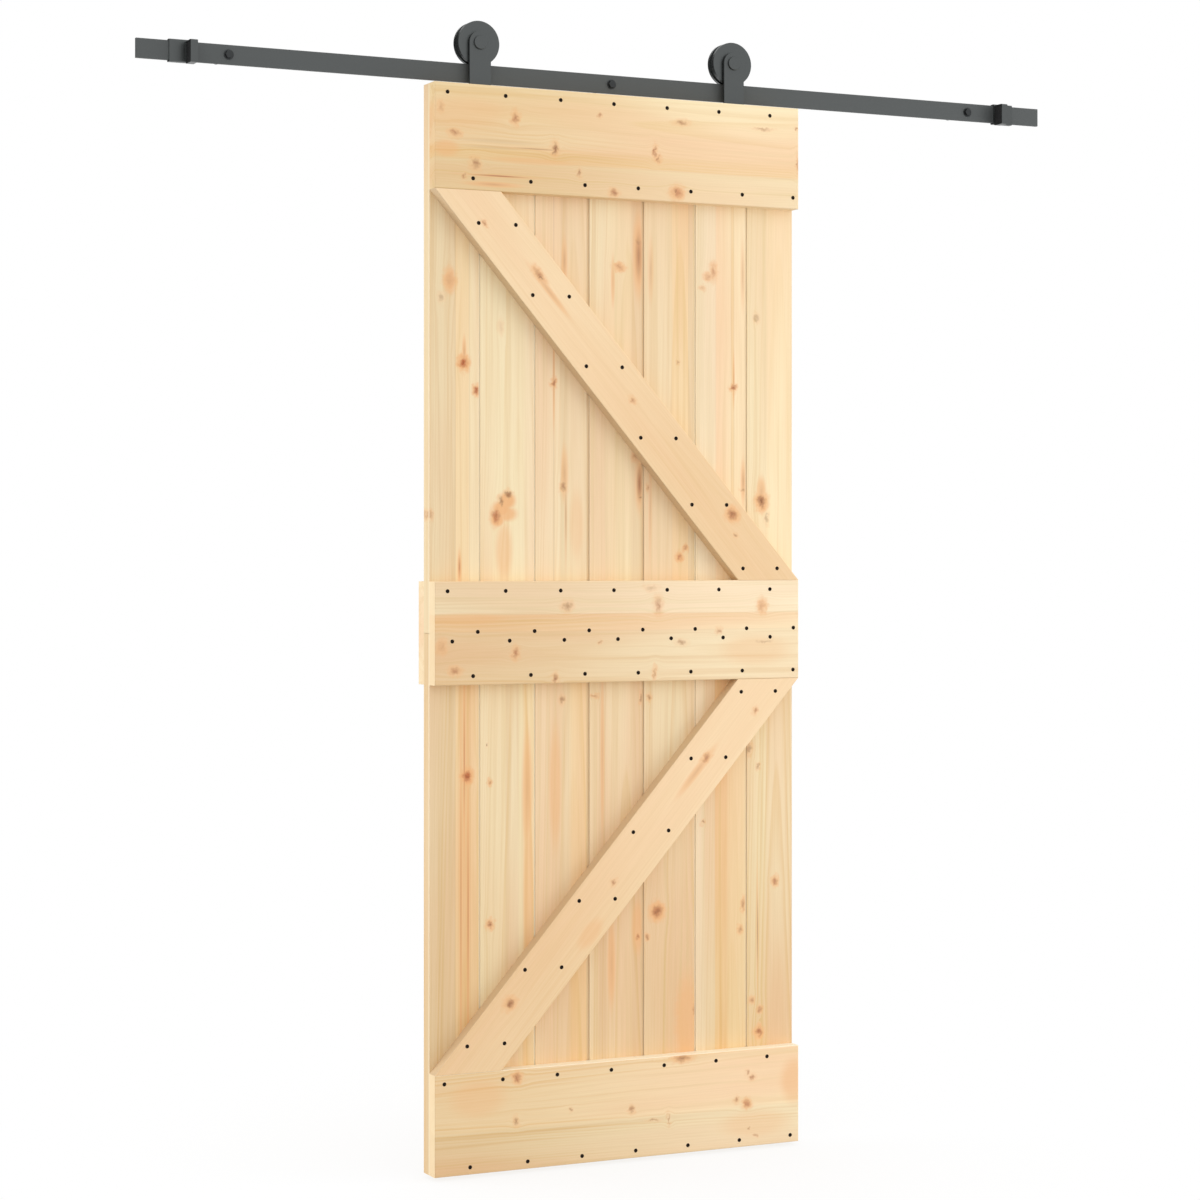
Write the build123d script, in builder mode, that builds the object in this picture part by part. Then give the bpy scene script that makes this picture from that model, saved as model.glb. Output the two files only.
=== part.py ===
"""Wooden sliding door that hangs from a flat steel track, in millimetres.

The wall is the plane y = 0 and the room is on the side of negative y. The origin is on the wall, in
the middle of the seat of the track's middle spacer. The door hangs a little left of the middle.
"""
from build123d import *
import math
import os

# Door leaf
board_widths = (106.5, 117.5, 117.5, 120.5, 116.0, 117.5, 104.5)
joint_groove_widths = (3.0, 3.0, 6.0, 5.0, 2.5, 4.0)
joint_groove_depth = 2.0
door_height = 2105.0
board_thickness = 28.0
board_gap = 0.6
tongue_thickness = 9.0
tongue_depth = 7.0
groove_clearance = 0.3
top_cross_height = 205.0
middle_cross_height = 200.0
bottom_cross_height = 196.0
middle_cross_centre = 1044.5
frame_thickness = 28.0
brace_width = 105.0
wood_easing = 2.0

# Track
track_height = 37.0
track_thickness = 8.0
track_corner = 1.0
left_bolt_span = 800.0
right_bolt_span = 842.0
track_end_margin = 179.0
door_gap_below_track = 14.0
spacer_length = 25.0
spacer_diameter = 21.0
bolt_shank = 8.0
bolt_hole_clearance = 0.25
bolt_head_across_flats = 13.0
bolt_head_height = 4.6
bolt_head_easing = 0.6
bolt_washer_diameter = 19.0
bolt_washer_height = 1.2
bolt_end_in_wall = 44.0
plug_diameter = 14.0
plug_length = 50.0
plug_in_spacer = 4.0
plug_rim_chamfer = 1.0
plug_clearance = 0.25
bolt_in_plug_clearance = 0.1

# Hangers and wheels
door_offset = -11.0
hanger_inset = 119.0
hanger_width = 45.0
hanger_thickness = 5.0
hanger_foot_length = 31.0
hanger_bend_radius = 6.0
hanger_top_flat = 0.02
foot_screw_hole = 6.5
foot_screw_head = 12.5
foot_screw_spacing = 22.0
wheel_rolling_radius = 40.5
wheel_flange_radius = 43.5
wheel_width = 25.4
wheel_groove_clearance = 1.0
wheel_bearing_recess = 2.0
wheel_bearing_radius = 18.0
wheel_hub_radius = 13.0
wheel_rim_easing = 1.2
axle_diameter = 12.0
axle_clearance = 0.08
axle_head_diameter = 27.0
axle_head_height = 4.0
axle_head_easing = 1.2
axle_tip_chamfer = 0.8
axle_washer_diameter = 24.0
axle_washer_height = 2.0
axle_nut_across_flats = 19.0
axle_nut_height = 7.0
axle_end_past_nut = 1.5
running_gap = 0.3

# Stops
stop_plate = 2.5
stop_clamp_clearance = 0.3
stop_block_width = 14.0
stop_outer_margin = 32.0
stop_block_depth = 31.0
stop_block_drop = 3.0
stop_lip_height = 12.0
stop_bend_radius = 1.0
bumper_recess = 0.8
left_stop_inset = 108.5
right_stop_inset = 113.5

os.makedirs("parts", exist_ok=True)

# Places that follow from the sizes
track_bottom = -track_height / 2
track_top = track_height / 2
door_top = track_bottom - door_gap_below_track
door_bottom = door_top - door_height
track_back = -spacer_length
track_front = track_back - track_thickness
track_middle = (track_back + track_front) / 2
track_left = -left_bolt_span - track_end_margin
track_right = right_bolt_span + track_end_margin
board_count = len(board_widths)
door_width = sum(board_widths)
bolt_places = {"left": -left_bolt_span, "middle": 0.0, "right": right_bolt_span}

wheel_front = track_middle - wheel_width / 2
wheel_back = track_middle + wheel_width / 2
hanger_back = wheel_front - running_gap - axle_washer_height
hanger_front = hanger_back - hanger_thickness
boards_back = hanger_front
boards_front = boards_back - board_thickness
frame_front = boards_front - frame_thickness
axle_height = track_top + wheel_rolling_radius + running_gap

door_left = door_offset - door_width / 2
door_right = door_offset + door_width / 2
top_cross_bottom = door_top - top_cross_height
middle_cross_top = door_bottom + middle_cross_centre + middle_cross_height / 2
middle_cross_bottom = middle_cross_top - middle_cross_height
bottom_cross_top = door_bottom + bottom_cross_height
board_split = (middle_cross_top + middle_cross_bottom) / 2
hanger_places = {"left": door_left + hanger_inset, "right": door_right - hanger_inset}

nodes = []


def keep(part, name):
    """Label a finished piece and write it to its own file."""
    part.label = name
    export_step(part, f"parts/{name}.step")
    nodes.append(part)


def board_edges(index):
    """The left and right edge of a board's face, counted from the door's left end."""
    left = door_left + sum(board_widths[:index])
    right = left + board_widths[index]
    if index > 0:
        left += board_gap / 2
    if index < board_count - 1:
        right -= board_gap / 2
    return left, right


def make_board(index, bottom, top):
    """One tongue and groove board, its tongue on the right behind a shallow groove in its face."""
    left, right = board_edges(index)
    middle_y = (boards_front + boards_back) / 2
    has_groove = index > 0
    has_tongue = index < board_count - 1
    tongue_reach = board_gap + tongue_depth
    groove_depth = tongue_depth + groove_clearance
    with BuildPart() as board:
        with BuildSketch(Plane.XY.offset(bottom)):
            with Locations(((left + right) / 2, middle_y)):
                Rectangle(right - left, board_thickness)
            if has_tongue:
                with Locations((right + tongue_reach / 2, middle_y)):
                    Rectangle(tongue_reach, tongue_thickness)
                face_groove = joint_groove_widths[index]
                with Locations((right - face_groove / 2, boards_front + joint_groove_depth / 2)):
                    Rectangle(face_groove, joint_groove_depth, mode=Mode.SUBTRACT)
            if has_groove:
                with Locations((left + groove_depth / 2, middle_y)):
                    Rectangle(
                        groove_depth,
                        tongue_thickness + 2 * groove_clearance,
                        mode=Mode.SUBTRACT,
                    )
        extrude(amount=top - bottom)
    return board.part


def make_cross_board(bottom, height, front, eased):
    """A board right across the door, with the long edges that face out eased."""
    with BuildPart() as cross:
        with BuildSketch(Plane.XY.offset(bottom)):
            with Locations((door_offset, front + frame_thickness / 2)):
                Rectangle(door_width, frame_thickness)
        extrude(amount=height)
        outer_face = cross.faces().sort_by(Axis.Y)[0 if eased == "front" else -1]
        fillet(outer_face.edges(), radius=wood_easing)
    return cross.part


def make_brace(bottom, top, rises_left):
    """A sloping board between two cross-boards, flush with the ends of the door."""
    run = door_width
    rise = top - bottom
    # the horizontal cut through a sloping board is as long as its width over the sine of the slope
    cut = brace_width
    for _ in range(20):
        slope = math.atan2(rise, run - cut)
        cut = brace_width / math.sin(slope)
    if rises_left:
        upper_end, lower_end, inward = door_left, door_right, cut
    else:
        upper_end, lower_end, inward = door_right, door_left, -cut
    corners = [
        (upper_end, top),
        (upper_end + inward, top),
        (lower_end, bottom),
        (lower_end - inward, bottom),
    ]
    with BuildPart() as brace:
        with BuildSketch(Plane.XZ.offset(-boards_front)):
            with BuildLine():
                Polyline(*corners, close=True)
            make_face()
        extrude(amount=frame_thickness)
        front_edges = brace.faces().sort_by(Axis.Y)[0].edges()
        fillet(front_edges.sort_by(SortBy.LENGTH)[-2:], radius=wood_easing)
    return brace.part


def make_track():
    """The flat bar with a hole for each wall bolt."""
    with BuildPart() as bar:
        with BuildSketch(Plane.XZ.offset(-track_back)):
            with Locations(((track_left + track_right) / 2, 0)):
                Rectangle(track_right - track_left, track_height)
            with Locations(*[(place, 0) for place in bolt_places.values()]):
                Circle(bolt_shank / 2 + bolt_hole_clearance, mode=Mode.SUBTRACT)
        extrude(amount=track_thickness)
        fillet(bar.edges().filter_by(Axis.X), radius=track_corner)
    return bar.part


def make_spacer(place):
    """A round sleeve between wall and bar, with a wider bore at the wall for the plug's rim."""
    with BuildPart() as spacer:
        with BuildSketch(Plane.XZ):
            with Locations((place, 0)):
                Circle(spacer_diameter / 2)
                Circle(bolt_shank / 2 + bolt_hole_clearance, mode=Mode.SUBTRACT)
        extrude(amount=spacer_length)
        with BuildSketch(Plane.XZ):
            with Locations((place, 0)):
                Circle(plug_diameter / 2 + plug_clearance)
        extrude(amount=plug_in_spacer, mode=Mode.SUBTRACT)
    return spacer.part


def make_wall_bolt(place):
    """A hexagon bolt with a flange under its head, through bar, spacer and plug."""
    head_back = track_front - bolt_washer_height
    with BuildPart() as bolt:
        with BuildSketch(Plane.XZ.offset(-bolt_end_in_wall)):
            with Locations((place, 0)):
                Circle(bolt_shank / 2)
        extrude(amount=bolt_end_in_wall - track_front)
        with BuildSketch(Plane.XZ.offset(-track_front)):
            with Locations((place, 0)):
                Circle(bolt_washer_diameter / 2)
        extrude(amount=bolt_washer_height)
        with BuildSketch(Plane.XZ.offset(-head_back)):
            with Locations((place, 0)):
                RegularPolygon(bolt_head_across_flats / 2, 6, major_radius=False)
        extrude(amount=bolt_head_height)
        head_edges = bolt.faces().sort_by(Axis.Y)[0].edges()
        chamfer(head_edges, length=bolt_head_easing)
        tip_edges = bolt.faces().sort_by(Axis.Y)[-1].edges()
        chamfer(tip_edges, length=bolt_shank / 4)
    return bolt.part


def make_plug(place):
    """The sleeve in the wall that the bolt grips."""
    with BuildPart() as plug:
        with BuildSketch(Plane.XZ.offset(plug_in_spacer)):
            with Locations((place, 0)):
                Circle(plug_diameter / 2)
                Circle(bolt_shank / 2 + bolt_in_plug_clearance, mode=Mode.SUBTRACT)
        extrude(amount=-plug_length)
        rim = plug.edges().filter_by(GeomType.CIRCLE).sort_by(Axis.Y)[-2:]
        chamfer(rim.sort_by(SortBy.RADIUS)[-1], length=plug_rim_chamfer)
    return plug.part


def make_hanger(place):
    """A strap with a round top that turns forward at its lower end into a foot on the door."""
    foot_front = hanger_back - hanger_foot_length
    strap_top = axle_height + hanger_width / 2
    with BuildPart() as hanger:
        with BuildSketch(Plane.YZ.offset(place - hanger_width / 2)):
            with BuildLine():
                FilletPolyline(
                    (foot_front, door_top + hanger_thickness),
                    (hanger_front, door_top + hanger_thickness),
                    (hanger_front, strap_top),
                    radius=hanger_bend_radius - hanger_thickness,
                )
                Line((hanger_front, strap_top), (hanger_back, strap_top))
                FilletPolyline(
                    (hanger_back, strap_top),
                    (hanger_back, door_top),
                    (foot_front, door_top),
                    radius=hanger_bend_radius,
                )
                Line((foot_front, door_top), (foot_front, door_top + hanger_thickness))
            make_face()
        extrude(amount=hanger_width)
        upright_top = hanger.edges().filter_by(Axis.Y).group_by(Axis.Z)[-1]
        fillet(upright_top, radius=(hanger_width - hanger_top_flat) / 2)
        with BuildSketch(Plane.XZ.offset(-hanger_back)):
            with Locations((place, axle_height)):
                Circle(axle_diameter / 2 + axle_clearance)
        extrude(amount=hanger_thickness, mode=Mode.SUBTRACT)
        foot_middle = (foot_front + hanger_front) / 2
        with Locations(Plane.XY.offset(door_top + hanger_thickness)):
            with Locations((place, foot_middle)):
                with GridLocations(foot_screw_spacing, 1, 2, 1):
                    CounterSinkHole(foot_screw_hole / 2, foot_screw_head / 2, depth=hanger_thickness)
    return hanger.part


def make_wheel(place):
    """A turned wheel: two flat-faced flanges with a groove for the bar, and a recess round the hub."""
    flange_thickness = (wheel_width - track_thickness) / 2 - wheel_groove_clearance
    bore = axle_diameter / 2 + axle_clearance
    # the profile is drawn as distance along the axle and radius
    groove_front = wheel_front + flange_thickness
    groove_back = wheel_back - flange_thickness
    with BuildPart() as wheel:
        with BuildSketch(Plane.YZ.offset(place)) as profile:
            with BuildLine():
                Polyline(
                    (wheel_front, axle_height + bore),
                    (wheel_front, axle_height + wheel_hub_radius),
                    (wheel_front + wheel_bearing_recess, axle_height + wheel_hub_radius),
                    (wheel_front + wheel_bearing_recess, axle_height + wheel_bearing_radius),
                    (wheel_front, axle_height + wheel_bearing_radius),
                    (wheel_front, axle_height + wheel_flange_radius),
                    (groove_front, axle_height + wheel_flange_radius),
                    (groove_front, axle_height + wheel_rolling_radius),
                    (groove_back, axle_height + wheel_rolling_radius),
                    (groove_back, axle_height + wheel_flange_radius),
                    (wheel_back, axle_height + wheel_flange_radius),
                    (wheel_back, axle_height + wheel_bearing_radius),
                    (wheel_back - wheel_bearing_recess, axle_height + wheel_bearing_radius),
                    (wheel_back - wheel_bearing_recess, axle_height + wheel_hub_radius),
                    (wheel_back, axle_height + wheel_hub_radius),
                    (wheel_back, axle_height + bore),
                    close=True,
                )
            make_face()
        axle_line = Axis((place, 0, axle_height), (0, 1, 0))
        revolve(axis=axle_line)
        for flange_face in (wheel.faces().sort_by(Axis.Y)[0], wheel.faces().sort_by(Axis.Y)[-1]):
            rim = flange_face.edges().filter_by(GeomType.CIRCLE).sort_by(SortBy.RADIUS)[-1]
            fillet(rim, radius=wheel_rim_easing)
    return wheel.part


def make_axle_bolt(place):
    """A round flat head in front of the strap and a shank through strap, washer, wheel and nut."""
    nut_back = wheel_back + running_gap + axle_nut_height
    with BuildPart() as bolt:
        with BuildSketch(Plane.XZ.offset(-hanger_front)):
            with Locations((place, axle_height)):
                Circle(axle_head_diameter / 2)
        extrude(amount=axle_head_height)
        fillet(bolt.faces().sort_by(Axis.Y)[0].edges(), radius=axle_head_easing)
        with BuildSketch(Plane.XZ.offset(-hanger_front)):
            with Locations((place, axle_height)):
                Circle(axle_diameter / 2)
        extrude(amount=-(nut_back + axle_end_past_nut - hanger_front))
        chamfer(bolt.faces().sort_by(Axis.Y)[-1].edges(), length=axle_tip_chamfer)
    return bolt.part


def make_axle_washer(place):
    """The thin ring that keeps the wheel off the strap."""
    with BuildPart() as washer:
        with BuildSketch(Plane.XZ.offset(-hanger_back)):
            with Locations((place, axle_height)):
                Circle(axle_washer_diameter / 2)
                Circle(axle_diameter / 2 + axle_clearance, mode=Mode.SUBTRACT)
        extrude(amount=-axle_washer_height)
    return washer.part


def make_axle_nut(place):
    """The hexagon nut behind the wheel."""
    nut_front = wheel_back + running_gap
    with BuildPart() as nut:
        with BuildSketch(Plane.XZ.offset(-nut_front)):
            with Locations((place, axle_height)):
                RegularPolygon(axle_nut_across_flats / 2, 6, major_radius=False)
                Circle(axle_diameter / 2 + axle_clearance, mode=Mode.SUBTRACT)
        extrude(amount=-axle_nut_height)
    return nut.part


def stop_places(side):
    """The block's middle, the clamp's middle and its length: both end together on the door's side."""
    if side == "left":
        block_inner = track_left + left_stop_inset
        outward = -1
    else:
        block_inner = track_right - right_stop_inset
        outward = 1
    block_middle = block_inner + outward * stop_block_width / 2
    clamp_length = stop_block_width + stop_outer_margin
    return block_middle, block_inner + outward * clamp_length / 2, clamp_length


def stop_block_sizes():
    """Where the square tube in front of the clamp begins and ends along y, and its outer height."""
    back = track_front - stop_clamp_clearance - stop_plate
    front = back - stop_block_depth
    height = track_height + 2 * stop_clamp_clearance + 2 * stop_plate
    return front, back, height


def make_stop_clamp(side):
    """A bent plate round the bar, open behind, with a short square tube in front for the bumper."""
    block_middle, clamp_middle, clamp_length = stop_places(side)
    block_front, block_back, outer_height = stop_block_sizes()
    inner_height = outer_height - 2 * stop_plate
    inner_front = block_back + stop_plate
    inner_back = track_back + stop_clamp_clearance
    outer_back = inner_back + stop_plate
    with BuildPart() as clamp:
        with BuildSketch(Plane.YZ.offset(clamp_middle - clamp_length / 2)):
            with Locations(((block_back + outer_back) / 2, 0)):
                RectangleRounded(outer_back - block_back, outer_height, stop_plate)
            with Locations(((inner_front + inner_back) / 2, 0)):
                Rectangle(inner_back - inner_front, inner_height, mode=Mode.SUBTRACT)
            with Locations((inner_back + stop_plate / 2, 0)):
                Rectangle(2 * stop_plate, outer_height - 2 * stop_lip_height, mode=Mode.SUBTRACT)
        extrude(amount=clamp_length)
        with BuildSketch(Plane.YZ.offset(block_middle - stop_block_width / 2)):
            with Locations(((block_front + block_back) / 2, -stop_block_drop)):
                RectangleRounded(stop_block_depth, outer_height, stop_plate + stop_bend_radius)
                RectangleRounded(
                    stop_block_depth - 2 * stop_plate,
                    inner_height,
                    stop_bend_radius,
                    mode=Mode.SUBTRACT,
                )
        extrude(amount=stop_block_width)
    return clamp.part


def make_bumper(side):
    """The rubber block in the stop's tube."""
    block_middle, _, _ = stop_places(side)
    block_front, block_back, outer_height = stop_block_sizes()
    width = stop_block_width - 2 * bumper_recess
    with BuildPart() as bumper:
        with BuildSketch(Plane.YZ.offset(block_middle - width / 2)):
            with Locations(((block_front + block_back) / 2, -stop_block_drop)):
                RectangleRounded(
                    stop_block_depth - 2 * stop_plate,
                    outer_height - 2 * stop_plate,
                    stop_bend_radius,
                )
        extrude(amount=width)
    return bumper.part


# Boards of the door, upper and lower row
for board_index in range(board_count):
    upper = make_board(board_index, board_split + board_gap / 2, door_top)
    keep(upper, f"upper_board_{board_index + 1}")
for board_index in range(board_count):
    lower = make_board(board_index, door_bottom, board_split - board_gap / 2)
    keep(lower, f"lower_board_{board_index + 1}")

# Cross-boards and braces
keep(make_cross_board(top_cross_bottom, top_cross_height, frame_front, "front"), "top_cross_board")
keep(make_cross_board(middle_cross_bottom, middle_cross_height, frame_front, "front"), "middle_cross_board")
keep(make_cross_board(door_bottom, bottom_cross_height, frame_front, "front"), "bottom_cross_board")
keep(make_cross_board(middle_cross_bottom, middle_cross_height, boards_back, "back"), "back_cross_board")
keep(make_brace(middle_cross_top, top_cross_bottom, True), "upper_brace")
keep(make_brace(bottom_cross_top, middle_cross_bottom, False), "lower_brace")

# Track and what holds it to the wall
keep(make_track(), "track_bar")
for side, place in bolt_places.items():
    keep(make_spacer(place), f"{side}_spacer")
    keep(make_wall_bolt(place), f"{side}_wall_bolt")
    keep(make_plug(place), f"{side}_wall_plug")
for side in ("left", "right"):
    keep(make_stop_clamp(side), f"{side}_stop_clamp")
    keep(make_bumper(side), f"{side}_stop_bumper")

# Hangers and wheels
for side, place in hanger_places.items():
    keep(make_hanger(place), f"{side}_hanger")
    keep(make_axle_bolt(place), f"{side}_axle_bolt")
    keep(make_axle_washer(place), f"{side}_axle_washer")
    keep(make_axle_nut(place), f"{side}_axle_nut")
    keep(make_wheel(place), f"{side}_wheel")

print(len(nodes), "pieces")
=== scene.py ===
"""Looks of the wooden sliding door and its flat steel track, in metres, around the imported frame."""
import math
from collections import namedtuple

import bpy
from mathutils import Euler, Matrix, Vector


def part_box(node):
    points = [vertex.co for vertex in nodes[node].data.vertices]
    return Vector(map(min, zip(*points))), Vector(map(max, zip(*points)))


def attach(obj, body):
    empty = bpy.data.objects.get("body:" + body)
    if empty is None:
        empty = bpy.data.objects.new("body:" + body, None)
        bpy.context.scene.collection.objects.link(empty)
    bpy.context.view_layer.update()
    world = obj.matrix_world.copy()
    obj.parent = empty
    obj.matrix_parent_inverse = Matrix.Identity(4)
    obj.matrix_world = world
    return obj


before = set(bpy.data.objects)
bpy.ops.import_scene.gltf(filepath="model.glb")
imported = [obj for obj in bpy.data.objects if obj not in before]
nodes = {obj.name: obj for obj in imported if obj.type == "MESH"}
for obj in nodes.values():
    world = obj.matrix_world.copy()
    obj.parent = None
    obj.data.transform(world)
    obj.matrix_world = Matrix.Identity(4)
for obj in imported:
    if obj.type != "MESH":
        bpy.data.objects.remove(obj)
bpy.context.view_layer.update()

MM = 0.001

# Places on the door, taken from the frame
door_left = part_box("top_cross_board")[0].x
door_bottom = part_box("bottom_cross_board")[0].z
frame_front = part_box("top_cross_board")[0].y
boards_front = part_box("upper_board_1")[0].y

# A brace's width across its grain, which its box doesn't give
brace_width = 105 * MM

# How far a board is turned about the y axis, so that its grain runs upright or level
UPRIGHT = 0.0
LEVEL = -math.pi / 2


def tone(red, green, blue):
    """A colour as it looks on a screen, 0 to 255, as the linear values that a shader takes."""
    shares = [value / 255 for value in (red, green, blue)]
    return (*[((share + 0.055) / 1.055) ** 2.4 for share in shares], 1.0)


# Colours of planed pine
IVORY = tone(254, 233, 198)
PALE = tone(252, 226, 184)
CREAM = tone(248, 225, 189)
STRAW = tone(246, 221, 180)
HONEY = tone(246, 218, 179)
SAND = tone(243, 215, 175)
BISCUIT = tone(237, 208, 167)
PEACH = tone(250, 219, 178)
APRICOT = tone(246, 214, 168)
AMBER = tone(243, 206, 157)

# Colours of knots and of the resin round them
KNOT_RED = tone(190, 92, 44)
KNOT_BROWN = tone(132, 90, 58)
RESIN_ORANGE = tone(238, 180, 124)

# Painted light and shade: a pale colour that lightens the grooves between upright boards and the bottom
# cross-board's top face, tan and grey colours that darken grooves as shade, a pale colour that lightens the
# cross-boards' edges, and a grey one that darkens the braces' edges as shade
PAINTED_LIGHT_PALE = tone(253, 242, 216)
PAINTED_SHADE_TAN = tone(238, 216, 180)
PAINTED_SHADE_GREY = tone(220, 190, 148)
PAINTED_EDGE_LIGHT = tone(248, 224, 182)
PAINTED_EDGE_SHADE = tone(206, 180, 143)

Shift = namedtuple("Shift", "hue saturation value")

# What each effect does to the tint of the wood, where a hue of 0.5 leaves it as it is
DEEPENED = Shift(0.494, 1.19, 0.875)
ROSY = Shift(0.493, 1.04, 0.99)
PALER = Shift(0.511, 0.9, 1.02)
STREAKED = Shift(0.502, 1.08, 0.93)
LATE_WOOD = Shift(0.5, 1.24, 0.9)
FIBROUS = Shift(0.5, 1.06, 0.93)

# Lumps of each kind of unevenness to the metre: across, through and along the grain
SLOW_WAVES = (6, 6, 0.8)
QUICK_WAVES = (30, 30, 4)
FIBRES = (520, 520, 9)
STREAKS = (75, 75, 0.9)
DRIFTS = (9, 9, 1.1)
RELIEF = (420, 420, 7)

# Patches of a sprayed surface to the metre, the same each way
PATCHES = (9, 9, 9)

# From one growth ring to the next, and how much the rings widen with each metre of a board
ring_spacing = 4.2 * MM
ring_slope = 0.012

# The outlines of knots wobble: how often to the metre, and how far across and along the grain
knot_wobbles = 110.0
knot_wobble = (13 * MM, 0, 18 * MM)

# The tint deepens over a stretch this long on each side of a board's middle
deepening_reach = 0.3

# The painted light or shade in a groove sets in behind the boards' front, ends behind the groove's floor,
# and covers this much
groove_paint_begins = (0.2 * MM, 0.6 * MM)
groove_paint_ends = (3.5 * MM, 3.0 * MM)
groove_paint_share = 0.8

# How much the painted light or shade on the faces that don't look forwards or back covers
edge_paint_share = 0.7

# A Mix node's colour sockets share their names with its number sockets, so they go by their places
MIX_SHARE, MIX_FIRST, MIX_SECOND, MIX_RESULT = 0, 6, 7, 2

# So do the sockets of a Random Value node that hold plain numbers
RANDOM_HIGHEST, RANDOM_NUMBER = 3, 1


class Nodes:
    """Adds nodes to one tree and joins them, so that a pattern reads line by line."""

    def __init__(self, tree):
        self.tree = tree

    def add(self, kind, **settings):
        """A new node with its settings."""
        node = self.tree.nodes.new(kind)
        for setting, value in settings.items():
            setattr(node, setting, value)
        return node

    def feed(self, socket, value):
        """Links a socket to another node's, or sets it to a plain value."""
        if isinstance(value, bpy.types.NodeSocket):
            self.tree.links.new(value, socket)
        else:
            socket.default_value = value

    def maths(self, operation, *values, clamp=False):
        """What a Math node makes of one or two numbers."""
        node = self.add("ShaderNodeMath", operation=operation, use_clamp=clamp)
        for socket, value in zip(node.inputs, values):
            self.feed(socket, value)
        return node.outputs["Value"]

    def vector(self, operation, *values):
        """What a Vector Math node makes of one or two vectors."""
        node = self.add("ShaderNodeVectorMath", operation=operation)
        for socket, value in zip(node.inputs, values):
            self.feed(socket, value)
        return node.outputs["Value" if operation == "LENGTH" else "Vector"]

    def split(self, vector):
        """The X, Y and Z of a vector."""
        node = self.add("ShaderNodeSeparateXYZ")
        self.feed(node.inputs["Vector"], vector)
        return node.outputs

    def join(self, **parts):
        """A vector of the given X, Y and Z, with nothing for one that isn't given."""
        node = self.add("ShaderNodeCombineXYZ")
        for label, value in parts.items():
            self.feed(node.inputs[label], value)
        return node.outputs["Vector"]

    def mix(self, share, first, second):
        """The first colour where the share is 0, the second where it is 1."""
        node = self.add("ShaderNodeMix", data_type="RGBA")
        self.feed(node.inputs[MIX_SHARE], share)
        self.feed(node.inputs[MIX_FIRST], first)
        self.feed(node.inputs[MIX_SECOND], second)
        return node.outputs[MIX_RESULT]

    def smooth(self, value, low, high, result_low=0.0, result_high=1.0):
        """Goes softly from result_low to result_high as the value goes from low to high."""
        node = self.add("ShaderNodeMapRange", interpolation_type="SMOOTHSTEP")
        for label, given in (
            ("Value", value),
            ("From Min", low),
            ("From Max", high),
            ("To Min", result_low),
            ("To Max", result_high),
        ):
            self.feed(node.inputs[label], given)
        return node.outputs["Result"]

    def noise(self, place, stretch, detail=2.0, rough=0.5):
        """Noise with that many lumps to the metre along each axis."""
        node = self.add("ShaderNodeTexNoise", noise_dimensions="3D")
        self.feed(node.inputs["Vector"], self.vector("MULTIPLY", place, stretch))
        self.feed(node.inputs["Scale"], 1.0)
        self.feed(node.inputs["Detail"], detail)
        self.feed(node.inputs["Roughness"], rough)
        return node.outputs["Fac"]

    def object_place(self):
        """Where a point lies on its object, which has the frame's own axes and origin."""
        return self.add("ShaderNodeTexCoord").outputs["Object"]

    def seen_directly(self):
        """1 where the camera sees a thing, itself or in gloss or through glass, and 0 for the light."""
        path = self.add("ShaderNodeLightPath")
        seen = self.maths("MAXIMUM", path.outputs["Is Camera Ray"], path.outputs["Is Glossy Ray"])
        return self.maths("MAXIMUM", seen, path.outputs["Is Transmission Ray"])

    def use(self, group, **given):
        """A node group with its inputs set, their names written with underscores for spaces."""
        node = self.add("ShaderNodeGroup", node_tree=group)
        for label, value in given.items():
            self.feed(node.inputs[label.replace("_", " ")], value)
        return node.outputs


def make_group(name, inputs, outputs, tree_kind="ShaderNodeTree"):
    """A node group with named inputs and outputs, and the nodes to fill it with."""
    tree = bpy.data.node_groups.new(name, tree_kind)
    for label, kind, value in inputs:
        socket = tree.interface.new_socket(label, in_out="INPUT", socket_type=kind)
        if value is not None:
            socket.default_value = value
    for label, kind in outputs:
        tree.interface.new_socket(label, in_out="OUTPUT", socket_type=kind)
    work = Nodes(tree)
    given = work.add("NodeGroupInput").outputs
    result = work.add("NodeGroupOutput").inputs
    return work, given, result


FLOAT, VECTOR, COLOUR = "NodeSocketFloat", "NodeSocketVector", "NodeSocketColor"
WHOLE, MATERIAL, GEOMETRY = "NodeSocketInt", "NodeSocketMaterial", "NodeSocketGeometry"


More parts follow.
